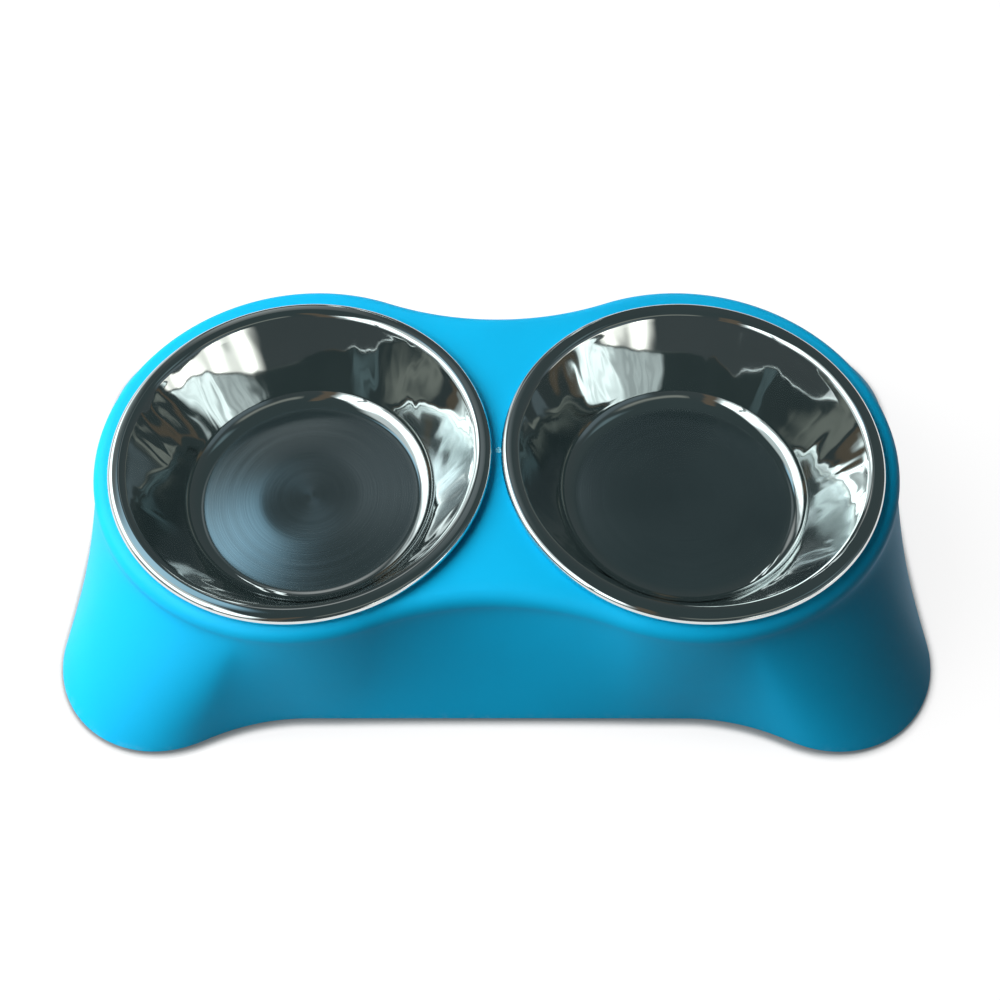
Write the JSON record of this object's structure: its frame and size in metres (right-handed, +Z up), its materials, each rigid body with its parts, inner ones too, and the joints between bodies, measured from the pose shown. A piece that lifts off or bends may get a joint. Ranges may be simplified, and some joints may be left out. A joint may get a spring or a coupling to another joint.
{
  "type": "double pet bowl",
  "caption": "Low bone-shaped plastic stand with flared corners and rubber feet, holding round polished steel bowls that lift out of holes in its deck.",
  "frame": {"origin": "on the floor under the middle of the stand, at the height of the feet's lower faces", "axes": "+X runs from the left bowl to the right bowl, +Y from the front to the back and +Z up"},
  "size_m": [0.356, 0.207, 0.068],
  "materials": {
    "stand_plastic": "sky blue moulded plastic, satin matte with a very fine grain",
    "bowl_steel": "mirror-polished stainless steel wall and rolled rim, with fine circular brushing on the floor",
    "foot_rubber": "dark grey matte rubber"
  },
  "bodies": {
    "stand": {"stand": "stand_plastic", "foot_front_left": "foot_rubber", "foot_front_right": "foot_rubber", "foot_rear_left": "foot_rubber", "foot_rear_right": "foot_rubber"},
    "bowl_left": {"bowl_left": "bowl_steel"},
    "bowl_right": {"bowl_right": "bowl_steel"}
  },
  "joints": [
    {"name": "bowl_left_lift", "type": "slide", "parent": "stand", "child": "bowl_left", "axis": [0, 0, 1], "range_m": [0, 0.08]},
    {"name": "bowl_right_lift", "type": "slide", "parent": "stand", "child": "bowl_right", "axis": [0, 0, 1], "range_m": [0, 0.08]}
  ]
}
